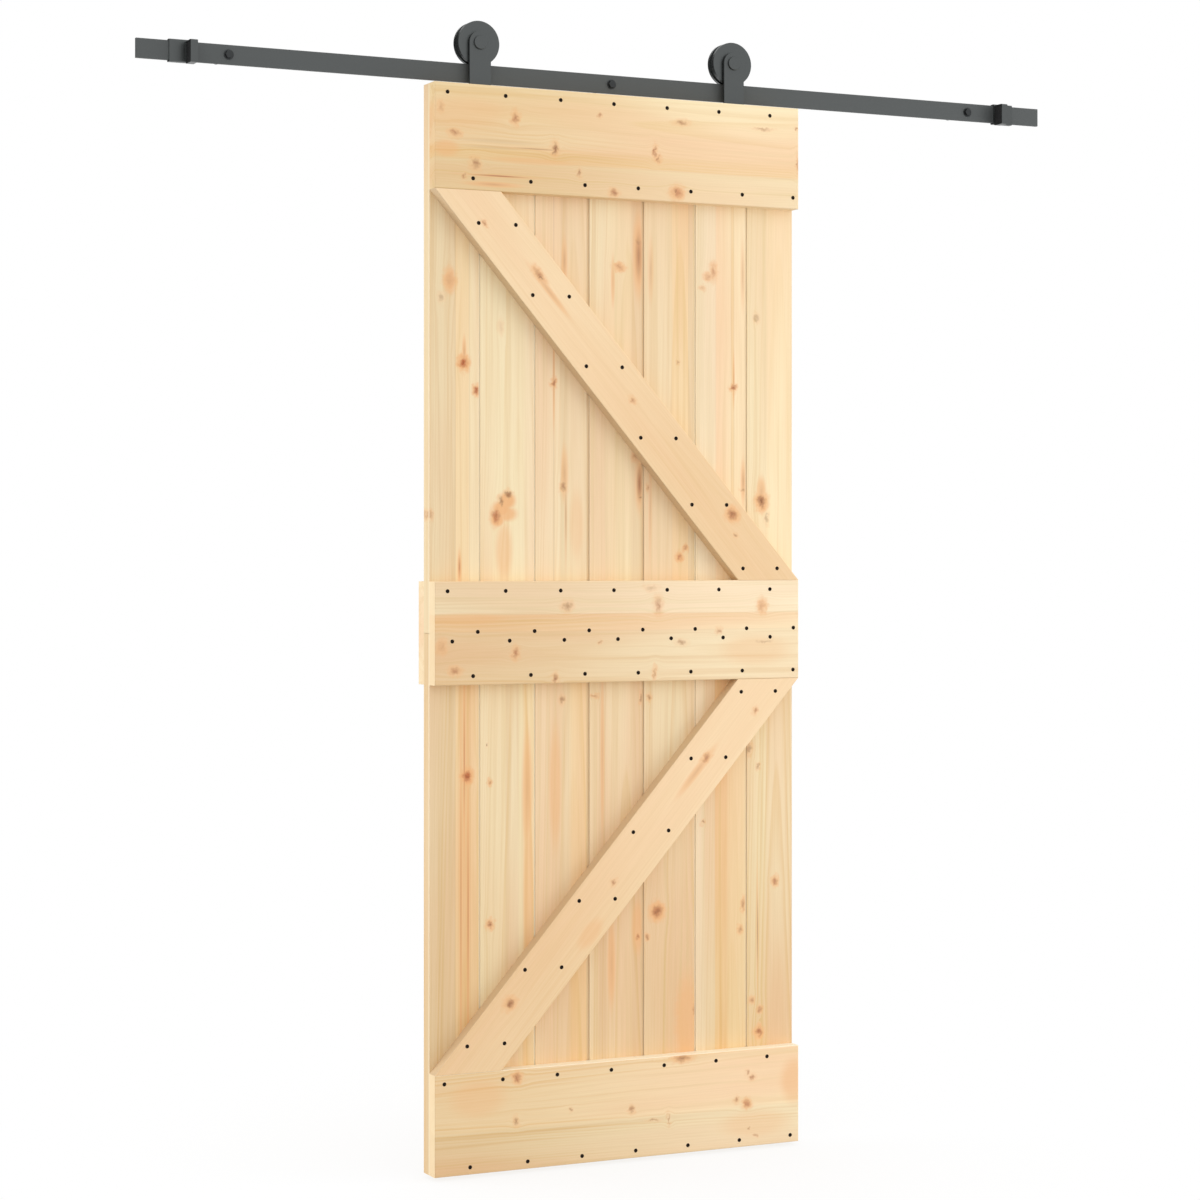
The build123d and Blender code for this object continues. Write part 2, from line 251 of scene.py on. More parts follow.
def make_knot_group():
    """A knot or a long streak: it turns the grain aside and adds to the masks that it is given."""
    work, given, result = make_group(
        "Knot",
        [
            ("Position", VECTOR, (0, 0, 0)),
            ("Centre", VECTOR, (0, 0, 0)),
            ("Size", VECTOR, (0.005, 1, 0.005)),
            ("Core", FLOAT, 0.6),
            ("Halo", FLOAT, 0.4),
            ("Flow", FLOAT, 0.7),
            ("Brown", FLOAT, 0.3),
            ("Bend Before", FLOAT, 0),
            ("Red Before", FLOAT, 0),
            ("Brown Before", FLOAT, 0),
            ("Halo Before", FLOAT, 0),
        ],
        [("Bend", FLOAT), ("Red Mask", FLOAT), ("Brown Mask", FLOAT), ("Halo Mask", FLOAT)],
    )
    offset = work.vector("SUBTRACT", given["Position"], given["Centre"])
    flat = work.vector("MULTIPLY", offset, (1, 0, 1))
    shape = work.vector("DIVIDE", flat, given["Size"])
    # The distance is 0 in the middle and 1 on the outline that the half sizes give
    distance = work.vector("LENGTH", shape)
    core = work.maths("MULTIPLY", work.smooth(distance, 1.7, 0.35), given["Core"])
    # The core is redder between its heart and its rim
    heart = work.maths("MULTIPLY", work.smooth(distance, 0.7, 0.1), 0.45)
    rim = work.smooth(work.maths("ABSOLUTE", work.maths("SUBTRACT", distance, 0.85)), 0.3, 0.0)
    brown_share = work.maths("ADD", given["Brown"], work.maths("MULTIPLY", rim, 0.25), clamp=True)
    red = work.maths("MULTIPLY", core, work.maths("SUBTRACT", 1.0, brown_share))
    brown = work.maths("MULTIPLY", core, work.maths("ADD", brown_share, heart, clamp=True))
    # Resin reaches further along the grain than across it
    wide = work.vector("LENGTH", work.vector("MULTIPLY", shape, (0.5, 0, 0.3)))
    resin = work.maths("MAXIMUM", work.smooth(wide, 1.0, 0.1), work.smooth(distance, 3.0, 1.2))
    halo = work.maths("MULTIPLY", resin, given["Halo"])
    # The grain swings round the core, and less and less with the distance
    swing = work.vector("LENGTH", work.vector("MULTIPLY", shape, (0.4, 0, 0.22)))
    fall = work.maths("EXPONENT", work.maths("MULTIPLY", work.maths("POWER", swing, 2.0), -1.0))
    sideways = work.maths("MULTIPLY", work.split(flat)["X"], fall)
    pushed = work.maths("MULTIPLY", sideways, given["Flow"])
    work.feed(result["Bend"], work.maths("SUBTRACT", given["Bend Before"], pushed))
    for label, mask in (("Red", red), ("Brown", brown), ("Halo", halo)):
        work.feed(result[f"{label} Mask"], work.maths("MAXIMUM", given[f"{label} Before"], mask))
    return work.tree


def make_ring_group():
    """Growth rings round a pith that lies off the board, with the fibres between them."""
    work, given, result = make_group(
        "Growth rings",
        [
            ("Position", VECTOR, (0, 0, 0)),
            ("Bend", FLOAT, 0),
            ("Pith Across", FLOAT, 0.02),
            ("Pith Depth", FLOAT, 0.06),
            ("Spacing", FLOAT, 0.004),
            ("Waviness", FLOAT, 0.006),
            ("Slope", FLOAT, 0.01),
            ("Seed", FLOAT, 0),
        ],
        [("Rings", FLOAT), ("Fibre", FLOAT), ("Streak", FLOAT), ("Drift", FLOAT)],
    )
    # Each seed takes its patterns from another part of the noise
    seed_across = work.maths("MULTIPLY", given["Seed"], 0.37)
    seed_along = work.maths("MULTIPLY", given["Seed"], 1.9)
    place = work.vector("ADD", given["Position"], work.join(X=seed_across, Z=seed_along))
    slow = work.maths("SUBTRACT", work.noise(place, SLOW_WAVES, 1.0), 0.5)
    quick = work.maths("SUBTRACT", work.noise(place, QUICK_WAVES, 2.0), 0.5)
    wave = work.maths("ADD", work.maths("MULTIPLY", slow, 3.0), work.maths("MULTIPLY", quick, 0.5))
    bend = work.maths("ADD", given["Bend"], work.maths("MULTIPLY", wave, given["Waviness"]))
    parts = work.split(given["Position"])
    across = work.maths("ADD", parts["X"], bend)
    # The radius round the pith, which the slope lets grow along the board
    off_across = work.maths("SUBTRACT", across, given["Pith Across"])
    off_depth = work.maths("SUBTRACT", parts["Y"], given["Pith Depth"])
    across_squared = work.maths("MULTIPLY", off_across, off_across)
    depth_squared = work.maths("MULTIPLY", off_depth, off_depth)
    flat_radius = work.maths("SQRT", work.maths("ADD", across_squared, depth_squared))
    radius = work.maths("ADD", flat_radius, work.maths("MULTIPLY", parts["Z"], given["Slope"]))
    # Each ring darkens slowly, ends sharply and has a strength of its own
    count = work.maths("DIVIDE", radius, given["Spacing"])
    share = work.maths("FRACT", count)
    late = work.maths("MULTIPLY", work.smooth(share, 0.2, 0.85), work.smooth(share, 1.0, 0.88))
    strength = work.add("ShaderNodeTexWhiteNoise", noise_dimensions="1D")
    work.feed(strength.inputs["W"], work.maths("ADD", work.maths("FLOOR", count), given["Seed"]))
    lively = work.maths("POWER", strength.outputs["Value"], 1.6)
    work.feed(result["Rings"], work.maths("MULTIPLY", late, work.smooth(lively, 0.0, 1.0, 0.15, 1.0)))
    # Fibres and streaks follow the bent grain, and the broad drift of tint doesn't
    bent = work.join(
        X=work.maths("ADD", across, seed_across),
        Y=parts["Y"],
        Z=work.maths("ADD", parts["Z"], given["Seed"]),
    )
    work.feed(result["Fibre"], work.noise(bent, FIBRES, 3.0, 0.6))
    work.feed(result["Streak"], work.noise(bent, STREAKS, 2.0))
    work.feed(result["Drift"], work.noise(place, DRIFTS, 2.0))
    return work.tree


def make_strip_group():
    """A glued strip of another tint, from its edge onwards, with a thin line where it meets the last."""
    work, given, result = make_group(
        "Glued strip",
        [
            ("Across", FLOAT, 0),
            ("Colour Before", COLOUR, (1, 1, 1, 1)),
            ("Tint", COLOUR, (1, 1, 1, 1)),
            ("Edge", FLOAT, 0),
            ("Softness", FLOAT, 0.001),
            ("Line", FLOAT, 0.1),
        ],
        [("Colour", COLOUR)],
    )
    past = work.maths("SUBTRACT", given["Across"], given["Edge"])
    share = work.smooth(past, work.maths("MULTIPLY", given["Softness"], -1.0), given["Softness"])
    colour = work.mix(share, given["Colour Before"], given["Tint"])
    near = work.smooth(work.maths("ABSOLUTE", past), 1.2 * MM, 0.3 * MM)
    line = work.maths("MULTIPLY", near, given["Line"])
    work.feed(result["Colour"], work.mix(line, colour, KNOT_BROWN))
    return work.tree


def make_pine_colour_group():
    """Puts rings, fibres, resin and knots over a tint of planed pine."""
    work, given, result = make_group(
        "Pine colour",
        [
            ("Tint", COLOUR, HONEY),
            ("Rings", FLOAT, 0),
            ("Fibre", FLOAT, 0.5),
            ("Streak", FLOAT, 0.5),
            ("Drift", FLOAT, 0.5),
            ("Ring Contrast", FLOAT, 0.5),
            ("Liveliness", FLOAT, 1),
            ("Deepening", FLOAT, 0),
            ("Red Mask", FLOAT, 0),
            ("Brown Mask", FLOAT, 0),
            ("Halo Mask", FLOAT, 0),
        ],
        [("Colour", COLOUR), ("Roughness", FLOAT)],
    )

    def shifted(colour, shift):
        """The colour with its hue, saturation and value changed."""
        node = work.add("ShaderNodeHueSaturation")
        node.inputs["Hue"].default_value = shift.hue
        node.inputs["Saturation"].default_value = shift.saturation
        node.inputs["Value"].default_value = shift.value
        work.feed(node.inputs["Color"], colour)
        return node.outputs["Color"]

    tint = work.mix(given["Deepening"], given["Tint"], shifted(given["Tint"], DEEPENED))
    drift = work.smooth(given["Drift"], 0.35, 0.65)
    drifted = work.mix(drift, shifted(tint, PALER), shifted(tint, ROSY))
    streak = work.smooth(given["Streak"], 0.5, 0.68, 0.0, 0.7)
    streaked = work.mix(streak, drifted, shifted(tint, STREAKED))
    colour = work.mix(given["Liveliness"], tint, streaked)
    ring = work.maths("MULTIPLY", given["Rings"], given["Ring Contrast"])
    colour = work.mix(ring, colour, shifted(tint, LATE_WOOD))
    grain = work.smooth(given["Fibre"], 0.3, 0.7, 0.0, 0.5)
    colour = work.mix(grain, colour, shifted(colour, FIBROUS))
    colour = work.mix(given["Halo Mask"], colour, RESIN_ORANGE)
    colour = work.mix(given["Red Mask"], colour, KNOT_RED)
    colour = work.mix(given["Brown Mask"], colour, KNOT_BROWN)
    work.feed(result["Colour"], colour)
    # Knots are harder than the wood round them, and so smoother
    knots = work.maths("ADD", given["Red Mask"], given["Brown Mask"], clamp=True)
    dull = work.smooth(given["Fibre"], 0.3, 0.7, 0.52, 0.66)
    work.feed(result["Roughness"], work.maths("SUBTRACT", dull, work.maths("MULTIPLY", knots, 0.15)))
    return work.tree


def make_speckle_group():
    """Fine unevenness of a sprayed or moulded surface, with a broad change of tone."""
    work, given, result = make_group(
        "Sprayed surface",
        [("Position", VECTOR, (0, 0, 0)), ("Grain Size", FLOAT, 0.0012)],
        [("Fine", FLOAT), ("Broad", FLOAT)],
    )
    noise = work.add("ShaderNodeTexNoise")
    work.feed(noise.inputs["Vector"], given["Position"])
    work.feed(noise.inputs["Scale"], work.maths("DIVIDE", 1.0, given["Grain Size"]))
    work.feed(result["Fine"], noise.outputs["Fac"])
    work.feed(result["Broad"], work.noise(given["Position"], PATCHES, 3.0))
    return work.tree


knot_group = make_knot_group()
ring_group = make_ring_group()
strip_group = make_strip_group()
pine_colour_group = make_pine_colour_group()
speckle_group = make_speckle_group()


def add_object(name, data):
    """A new object of the scene that holds the mesh, lamp or camera."""
    added = bpy.data.objects.new(name, data)
    bpy.context.scene.collection.objects.link(added)
    return added


def new_material(name):
    """A new material, the nodes to fill it with, and its Principled BSDF."""
    material = bpy.data.materials.new(name)
    material.use_nodes = True
    return material, Nodes(material.node_tree), material.node_tree.nodes["Principled BSDF"]


def add_bump(work, shader, height, strength, depth):
    """Gives the shader a relief that follows the height pattern, as deep as depth in metres."""
    bump = work.add("ShaderNodeBump")
    bump.inputs["Strength"].default_value = strength
    bump.inputs["Distance"].default_value = depth
    work.feed(bump.inputs["Height"], height)
    work.feed(shader.inputs["Normal"], bump.outputs["Normal"])


def dress(node, material):
    """Gives every slot of a node's object the material."""
    mesh = nodes[node].data
    if not mesh.materials:
        mesh.materials.append(material)
    for index in range(len(mesh.materials)):
        mesh.materials[index] = material


Mark = namedtuple("Mark", "x z across along core halo flow brown")
Strip = namedtuple("Strip", "edge tint softness line")


def knot(x, z, across, along, core=0.6, halo=0.35, flow=0.75, brown=0.3):
    """A knot at x from the door's left end and z over its bottom, with its half sizes, in millimetres."""
    return Mark(x, z, across, along, core, halo, flow, brown)


def streak(x, z, across, along, core=0.4, halo=0.3, brown=0.3):
    """A line of resin or dark wood that the grain doesn't turn aside for."""
    return Mark(x, z, across, along, core, halo, 0.0, brown)


def strip(edge, tint, softness=1.0, line=0.12):
    """A strip that begins at edge, in millimetres along x, or along z on a cross-board."""
    return Strip(edge, tint, softness, line)


class Board:
    """Where a wooden piece lies and which way its grain runs, turned about the y axis."""

    def __init__(self, node, turn):
        low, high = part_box(node)
        self.middle = (low + high) / 2
        self.turn = Euler((0, turn, 0))

    def local(self, x, z):
        """A point of the door's front, in millimetres, in the piece's own directions."""
        place = Vector((door_left + x * MM, self.middle.y, door_bottom + z * MM))
        return self.turn.to_matrix().transposed() @ (place - self.middle)


def brace_slope(node):
    """The angle of a sloping board over the level, from its box and its width."""
    low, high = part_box(node)
    size = high - low
    level_cut = brace_width
    # The level cut depends on the slope and the slope on the cut, so both are worked out in turns
    rounds = 20
    for _ in range(rounds):
        slope = math.atan2(size.z, size.x - level_cut)
        level_cut = brace_width / math.sin(slope)
    return slope


upper_slope = brace_slope("upper_brace")
lower_slope = brace_slope("lower_brace")


def add_marks(work, board, marks, place):
    """Chains a board's knots and streaks: the bend that they give its grain, and their masks."""
    noise = work.add("ShaderNodeTexNoise")
    work.feed(noise.inputs["Vector"], place)
    noise.inputs["Scale"].default_value = knot_wobbles
    shift = work.vector("SUBTRACT", noise.outputs["Color"], (0.5, 0.5, 0.5))
    knot_place = work.vector("ADD", place, work.vector("MULTIPLY", shift, knot_wobble))
    before = {"Bend": 0.0, "Red Mask": 0.0, "Brown Mask": 0.0, "Halo Mask": 0.0}
    for mark in marks:
        before = work.use(
            knot_group,
            Position=knot_place if mark.flow else place,
            Centre=board.local(mark.x, mark.z),
            Size=(mark.across * MM, 1.0, mark.along * MM),
            Core=mark.core,
            Halo=mark.halo,
            Flow=mark.flow,
            Brown=mark.brown,
            Bend_Before=before["Bend"],
            Red_Before=before["Red Mask"],
            Brown_Before=before["Brown Mask"],
            Halo_Before=before["Halo Mask"],
        )
    return before


def add_strips(work, board, strips, tint, across):
    """Chains a board's glued strips over its own tint."""
    colour = tint
    # An edge counts along x on an upright board and along z on a level one, and both are its own x
    for each in strips:
        colour = work.use(
            strip_group,
            Across=across,
            Colour_Before=colour,
            Tint=each.tint,
            Edge=board.local(each.edge, each.edge).x,
            Softness=each.softness * MM,
            Line=each.line,
        )["Colour"]
    return colour


def paint_groove_light_shade(work, board, colour, parts, joint):
    """Paints light or shade into the grooves along an upright board's sides: painted light in the left one,
    and the given painted light or shade in the right one.
    """
    behind = work.maths("SUBTRACT", parts["Y"], boards_front - board.middle.y)
    begun = work.smooth(behind, *groove_paint_begins)
    groove = work.maths("MULTIPLY", begun, work.smooth(behind, *groove_paint_ends))
    # Painted light on the left side's wall, and the given painted light or shade in the groove along the
    # right side
    on_right = work.maths("GREATER_THAN", parts["X"], 0.0)
    groove_light_or_shade = work.mix(on_right, PAINTED_LIGHT_PALE, joint)
    return work.mix(work.maths("MULTIPLY", groove, groove_paint_share), colour, groove_light_or_shade)


def paint_edge_light_shade(work, colour, edge_paint, top_highlight):
    """Paints light or shade onto the faces that don't look forwards or back, and a painted highlight onto
    the upper one if one is given.
    """
    facing = work.split(work.add("ShaderNodeTexCoord").outputs["Normal"])
    # Painted light or shade on the faces that look sideways, up or down
    share = work.smooth(work.maths("ABSOLUTE", facing["Y"]), 0.8, 0.4, 0.0, edge_paint_share)
    colour = work.mix(share, colour, edge_paint)
    # Painted highlight on the face that looks up
    if top_highlight:
        colour = work.mix(work.smooth(facing["Z"], 0.4, 0.8), colour, top_highlight)
    return colour


def make_pine(node, turn, tint, strips=(), marks=(), seed=0.0, pith=(0.02, 0.05), waviness=6.0,
              contrast=0.5, lively=1.0, depths=(0.0, 0.0), joint=PAINTED_LIGHT_PALE, edge_paint=None, top_highlight=None):
    """The finish of one board: its tint deepens from its top or left end to the other by depths.

    The groove along an upright board's right side takes painted light or painted shade. The board's
    edges may take painted light or painted shade, and its upper face a painted highlight of its own.
    """
    board = Board(node, turn)
    material, work, shader = new_material(f"pine_{node}")
    turned = work.add("ShaderNodeMapping", vector_type="TEXTURE")
    work.feed(turned.inputs["Vector"], work.object_place())
    turned.inputs["Location"].default_value = board.middle
    turned.inputs["Rotation"].default_value = board.turn
    place = turned.outputs["Vector"]
    parts = work.split(place)
    marked = add_marks(work, board, marks, place)
    grain = work.use(
        ring_group,
        Position=place,
        Bend=marked["Bend"],
        Pith_Across=pith[0],
        Pith_Depth=pith[1],
        Spacing=ring_spacing,
        Waviness=waviness * MM,
        Slope=ring_slope,
        Seed=seed,
    )
    finish = work.use(
        pine_colour_group,
        Tint=add_strips(work, board, strips, tint, parts["X"]),
        Rings=grain["Rings"],
        Fibre=grain["Fibre"],
        Streak=grain["Streak"],
        Drift=grain["Drift"],
        Ring_Contrast=contrast,
        Liveliness=lively,
        Deepening=work.smooth(parts["Z"], deepening_reach, -deepening_reach, *depths),
        Red_Mask=marked["Red Mask"],
        Brown_Mask=marked["Brown Mask"],
        Halo_Mask=marked["Halo Mask"],
    )
    colour = finish["Colour"]
    if turn == UPRIGHT:
        colour = paint_groove_light_shade(work, board, colour, parts, joint)
    if edge_paint:
        colour = paint_edge_light_shade(work, colour, edge_paint, top_highlight)
    work.feed(shader.inputs["Base Color"], colour)
    work.feed(shader.inputs["Roughness"], finish["Roughness"])
    add_bump(work, shader, work.noise(place, RELIEF, 2.0), strength=0.15, depth=0.4 * MM)
    shader.inputs["Specular IOR Level"].default_value = 0.35
    dress(node, material)


def finish_cross_boards():
    """The three boards across the door's front, and the one behind it at mid height."""
    make_pine(
        "top_cross_board", LEVEL, STRAW, seed=1.3, pith=(0.05, 0.07), waviness=12, contrast=0.45,
        depths=(1.0, 0.0),
        strips=[strip(1960, APRICOT, 4, 0.04), strip(1985, PEACH, 8, 0), strip(2035, PALE, 15, 0)],
        marks=[
            knot(169, 2045, 8, 5, 0.55, 0.5),
            knot(42, 2009, 5, 8, 0.5, 0.4),
            knot(254, 1990, 9, 5, 0.75, 0.4, brown=0.6),
            streak(212, 1987, 1.2, 42, 0.4, 0.2, 0.6),
            knot(85, 1952, 8, 7, 0.5, 0.3, brown=0.5),
            knot(60, 1927, 4, 3, 0.45, 0.2),
            knot(306, 1946, 6, 3, 0.55, 0.2, brown=0.5),
            knot(351, 2061, 3, 3, 0.5, 0.2),
            knot(532, 2059, 4, 10, 0.5, 0.3, brown=0.5),
            knot(472, 1998, 9, 3, 0.6, 0.4),
            knot(480, 1984, 5, 4, 0.5, 0.4),
            knot(383, 1911, 5, 7, 0.65, 0.4),
            knot(522, 1919, 8, 9, 0.45, 0.6, brown=0.0),
            knot(517, 1919, 5, 3, 0.6, 0.2),
            knot(717, 2058, 2, 14, 0.3, 0.2, brown=0.5),
            knot(795, 2064, 2, 2, 0.5, 0.2),
            knot(798, 1990, 12, 2, 0.35, 0.3),
            knot(12, 2057, 8, 5, 0.2, 0.4),
            streak(135, 1930, 1.4, 45, 0.65, 0.3, 0.2),
            streak(122, 1913, 2.5, 28, 0.2, 0.5, 0.1),
            streak(24, 1978, 7, 12, 0.0, 0.5),
            streak(135, 1997, 4, 75, 0.12, 0.0, 1.0),
            streak(125, 1985, 3, 55, 0.12, 0.0, 1.0),
            streak(60, 2050, 14, 40, 0.0, 0.22),
            streak(200, 1962, 3, 40, 0.0, 0.3),
        ],
    )
    make_pine(
        "middle_cross_board", LEVEL, HONEY, seed=4.1, pith=(-0.04, 0.08), waviness=8, contrast=0.4,
        # Painted light on the board's edges
        depths=(1.0, 0.0), edge_paint=PAINTED_EDGE_LIGHT,
        strips=[strip(1046, PEACH, 3.0, 0.04), strip(1080, IVORY, 2.0, 0.05)],
        marks=[
            knot(280, 1095, 7, 7, 0.45, 0.3, brown=0.7),
            knot(480, 1095, 11, 6, 0.45, 0.3),
            knot(715, 1092, 9, 6, 0.25, 0.6, brown=0.1),
            knot(465, 1130, 4, 10, 0.2, 0.2, brown=0.8),
            knot(169, 1005, 8, 5, 0.6, 0.4),
            knot(42, 972, 5, 8, 0.45, 0.4),
            knot(254, 954, 7, 4, 0.65, 0.4, brown=0.5),
            knot(472, 960, 9, 3, 0.35, 0.4),
            knot(617, 1043, 4, 4, 0.4, 0.3),
            knot(351, 1023, 3, 3, 0.4, 0.2),
            knot(532, 1021, 4, 8, 0.45, 0.2, brown=0.6),
            knot(720, 1020, 2, 14, 0.25, 0.2, brown=0.6),
            knot(15, 1020, 9, 6, 0.15, 0.4),
            streak(60, 1072, 5, 40, 0.0, 0.35),
            streak(700, 1003, 14, 35, 0.0, 0.28),
        ],
    )
    make_pine(
        "bottom_cross_board", LEVEL, SAND, seed=7.7, pith=(0.03, 0.06), waviness=9, contrast=0.5,
        # Painted light on the board's edges, and a painted highlight on its top face
        depths=(1.0, 0.0), edge_paint=PAINTED_EDGE_LIGHT, top_highlight=PAINTED_LIGHT_PALE,
        strips=[strip(80, PEACH, 6.0, 0.0)],
        marks=[
            knot(172, 178, 7, 6, 0.65, 0.6),
            knot(170, 95, 6, 4, 0.5, 0.3, brown=0.6),
            knot(287, 108, 3, 3, 0.4, 0.2, brown=0.5),
            knot(535, 190, 5, 13, 0.6, 0.5, brown=0.4),
            knot(421, 96, 5, 4, 0.5, 0.3, brown=0.5),
            knot(470, 71, 2, 9, 0.4, 0.2, brown=0.5),
            knot(503, 70, 8, 2, 0.4, 0.2),
            knot(682, 150, 4, 3, 0.4, 0.2),
            knot(694, 139, 4, 4, 0.5, 0.3),
            knot(656, 96, 4, 4, 0.5, 0.3),
            knot(680, 86, 7, 6, 0.5, 0.6, brown=0.1),
            knot(686, 37, 3, 3, 0.4, 0.3),
            knot(700, 22, 3, 4, 0.4, 0.3),
            streak(790, 125, 20, 14, 0.0, 0.5),
            streak(700, 45, 12, 35, 0.0, 0.3),
            streak(90, 145, 16, 26, 0.0, 0.33),
        ],
    )
    make_pine("back_cross_board", LEVEL, HONEY, seed=9.2, pith=(0.02, -0.07), waviness=8)


def finish_braces():
    """The two sloping boards, whose grain runs along their slope."""
    make_pine(
        "upper_brace", upper_slope - math.pi / 2, PEACH, seed=12.4, pith=(0.01, 0.05), waviness=7,
        # Painted shade on the brace's edges
        contrast=0.15, lively=0.35, depths=(0.1, 0.65), edge_paint=PAINTED_EDGE_SHADE,
        marks=[
            knot(104, 1837, 3, 4, 0.45, 0.4),
            knot(220, 1742, 5, 12, 0.5, 0.6, brown=0.4),
            knot(224, 1736, 2, 4, 0.7, 0.2, brown=0.8),
            streak(240, 1712, 3, 30, 0.15, 0.5, 0.3),
            knot(423, 1502, 4, 5, 0.5, 0.4),
            knot(647, 1277, 8, 9, 0.75, 0.7, brown=0.35),
            knot(654, 1235, 3, 4, 0.45, 0.3, brown=0.5),
        ],
    )
    make_pine(
        "lower_brace", math.pi / 2 - lower_slope, PEACH, seed=15.9, pith=(-0.02, 0.05), waviness=7,
        # Painted shade on the brace's edges
        contrast=0.15, lively=0.35, depths=(0.1, 0.7), edge_paint=PAINTED_EDGE_SHADE,
        marks=[
            knot(700, 880, 4, 5, 0.5, 0.4),
            knot(587, 787, 5, 9, 0.5, 0.6),
            streak(566, 762, 4, 30, 0.15, 0.5, 0.2),
            knot(381, 548, 4, 5, 0.5, 0.3),
            knot(157, 325, 7, 8, 0.75, 0.6, brown=0.5),
            streak(330, 450, 8, 16, 0.0, 0.4),
        ],
    )


def finish_upper_boards():
    """The upright boards over the middle cross-board, from left to right."""
    make_pine(
        "upper_board_1", UPRIGHT, BISCUIT, seed=20.1, contrast=0.35,
        strips=[strip(54, APRICOT, 1.5, 0.15), strip(84, STRAW, 4, 0.1)],
        marks=[
            knot(42, 1727, 7, 12, 0.15, 0.7, brown=0.1),
            knot(25, 1693, 5, 6, 0.3, 0.2, brown=0.9),
            knot(71, 1568, 7, 8, 0.95, 0.9, brown=0.05),
            streak(73, 1590, 2, 14, 0.2, 0.6, 0.1),
            knot(98, 1516, 5, 6, 0.9, 0.7, brown=0.1),
            streak(63, 1172, 2, 16, 0.45, 0.6, 0.1),
            knot(3, 1273, 4, 6, 0.3, 0.3),
        ],
    )
    make_pine(
        "upper_board_2", UPRIGHT, STRAW, seed=23.6, contrast=0.4, waviness=9,
        strips=[strip(202, HONEY, 8, 0)],
        marks=[
            knot(166, 1313, 5, 6, 0.7, 0.5, brown=0.8),
            knot(151, 1300, 5, 7, 0.6, 0.5, brown=0.8),
            knot(140, 1271, 6, 11, 0.7, 0.6, brown=0.2),
            streak(164, 1302, 8, 8, 0.0, 0.9),
            streak(152, 1285, 9, 8, 0.0, 0.9),
            streak(143, 1265, 7, 7, 0.0, 0.9),
            streak(160, 1276, 11, 7, 0.0, 0.8),
            streak(157, 1205, 8, 26, 0.0, 0.5),
            knot(150, 1640, 4, 8, 0.1, 0.2),
        ],
    )
    make_pine(
        # Painted shade in the groove along the board's right side
        "upper_board_3", UPRIGHT, HONEY, seed=27.3, contrast=0.35, joint=PAINTED_SHADE_GREY,
        strips=[strip(264, HONEY, 1, 0.2), strip(278, BISCUIT, 4, 0), strip(294, SAND, 4, 0)],
        marks=[
            knot(264, 1534, 3.5, 6, 0.7, 0.7, brown=0.2),
            streak(264, 1534, 1.2, 45, 0.15, 0.6, 0.2),
            knot(285, 1330, 5, 7, 0.5, 0.5, brown=0.6),
            streak(287, 1355, 4, 25, 0.15, 0.5, 0.3),
            streak(290, 1270, 1.5, 45, 0.3, 0.3, 0.5),
            streak(287, 1775, 3, 22, 0.2, 0.4, 0.4),
            streak(313, 1255, 7, 30, 0.0, 0.3),
        ],
    )
    make_pine(
        # Painted shade in the groove along the board's right side
        "upper_board_4", UPRIGHT, SAND, seed=31.8, contrast=0.35, waviness=9, joint=PAINTED_SHADE_GREY,
        strips=[strip(380, STRAW, 8, 0), strip(434, BISCUIT, 5, 0)],
        marks=[
            knot(407, 1767, 8, 5, 0.3, 0.6, brown=0.1),
            streak(393, 1738, 2, 22, 0.1, 0.5, 0.2),
            streak(450, 1792, 6, 38, 0.5, 0.6, 0.4),
            knot(450, 1818, 5, 8, 0.4, 0.4, brown=0.5),
            streak(452, 1337, 5, 26, 0.7, 0.5, 0.4),
            knot(454, 1311, 3, 3, 0.6, 0.3, brown=0.6),
            knot(445, 1393, 6, 8, 0.3, 0.4, brown=0.5),
        ],
    )
    make_pine(
        "upper_board_5", UPRIGHT, SAND, seed=36.2, contrast=0.35,
        strips=[strip(524, APRICOT, 4, 0.05), strip(562, BISCUIT, 2, 0.1)],
        marks=[
            streak(477, 1765, 3, 30, 0.15, 0.3, 0.3),
            knot(472, 1330, 3, 5, 0.4, 0.4),
            streak(476, 1290, 2, 50, 0.15, 0.3, 0.3),
            knot(542, 1192, 5, 6, 0.5, 0.7, brown=0.1),
            knot(555, 1210, 4, 4, 0.35, 0.6, brown=0.1),
            knot(539, 1582, 2.5, 2.5, 0.4, 0.2),
        ],
    )
    make_pine(
        # Painted shade in the groove along the board's right side
        "upper_board_6", UPRIGHT, CREAM, seed=41.5, contrast=0.4, joint=PAINTED_SHADE_TAN,
        strips=[strip(624, PEACH, 3, 0.05), strip(659, AMBER, 1, 0.1), strip(666, PEACH, 1, 0.1)],
        marks=[
            knot(618, 1768, 5, 10, 0.35, 0.5, brown=0.1),
            knot(606, 1757, 6, 5, 0.25, 0.5, brown=0.1),
            knot(592, 1733, 5, 3, 0.15, 0.4, brown=0.3),
            streak(686, 1762, 2.5, 32, 0.15, 0.3, 0.3),
            knot(664, 1534, 4.5, 5, 0.75, 0.6, brown=0.2),
            streak(665, 1550, 1.2, 26, 0.2, 0.6, 0.1),
            knot(686, 1328, 4, 4, 0.4, 0.4, brown=0.5),
            streak(687, 1345, 3, 20, 0.25, 0.5, 0.3),
        ],
    )
    make_pine(
        "upper_board_7", UPRIGHT, STRAW, seed=45.9, contrast=0.4,
        strips=[strip(742, PALE, 6, 0)],
        marks=[
            knot(716, 1676, 4, 6, 0.3, 0.2, brown=0.9),
            knot(729, 1304, 8, 11, 0.9, 0.8, brown=0.5),
            streak(729, 1324, 5, 14, 0.15, 0.6, 0.2),
            knot(741, 1270, 3, 8, 0.35, 0.2, brown=0.9),
        ],
    )


